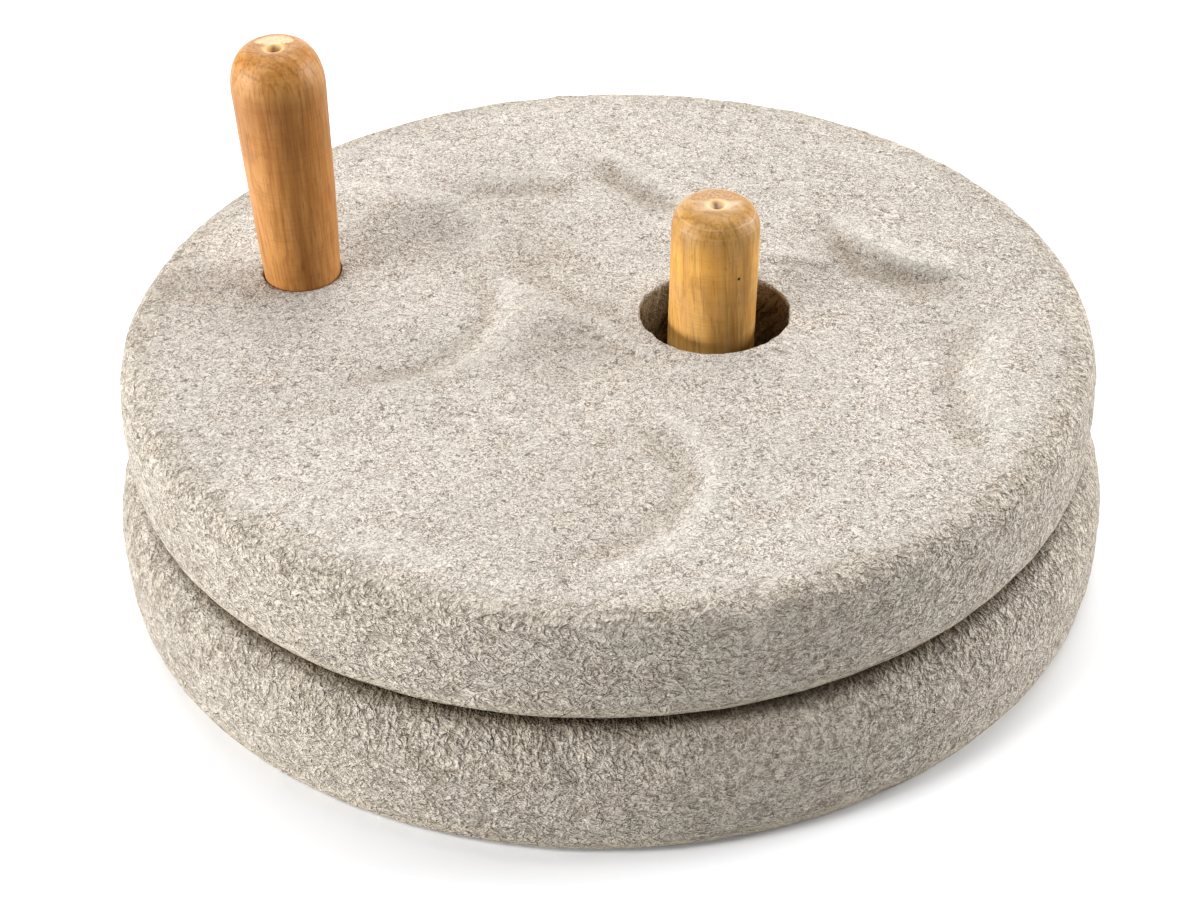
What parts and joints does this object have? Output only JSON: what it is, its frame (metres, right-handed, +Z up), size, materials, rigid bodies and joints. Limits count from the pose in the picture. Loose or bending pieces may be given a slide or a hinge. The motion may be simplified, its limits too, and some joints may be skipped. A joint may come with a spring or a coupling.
{
  "type": "rotary quern",
  "caption": "Rotary hand quern: round pecked granite stones, the upper with an off-centre eye and a carved whirl, turned about a wooden axle peg by an upright wooden handle.",
  "frame": {"origin": "Centre of the bedstone's underside, on the surface it stands on.", "axes": "+Z is up. +X runs from the bedstone's centre towards the eye and the axle peg. The handle stands near the rim on the -X side, a little towards +Y."},
  "size_m": [0.3, 0.3, 0.1516],
  "materials": {
    "granite": "pecked, matt, pale cream and grey with dark flecks",
    "pale_wood": "turned, smooth, a low sheen",
    "warm_wood": "turned, smooth, a low sheen"
  },
  "bodies": {
    "bed": {"bedstone": "granite", "axle_peg": "pale_wood"},
    "runner": {"runner_stone": "granite", "handle": "warm_wood"}
  },
  "joints": [
    {"name": "runner_turn", "type": "hinge", "parent": "bed", "child": "runner", "pos_m": [0.0326, 0.001, 0.0395], "axis": [0, 0, 1], "continuous": true}
  ]
}
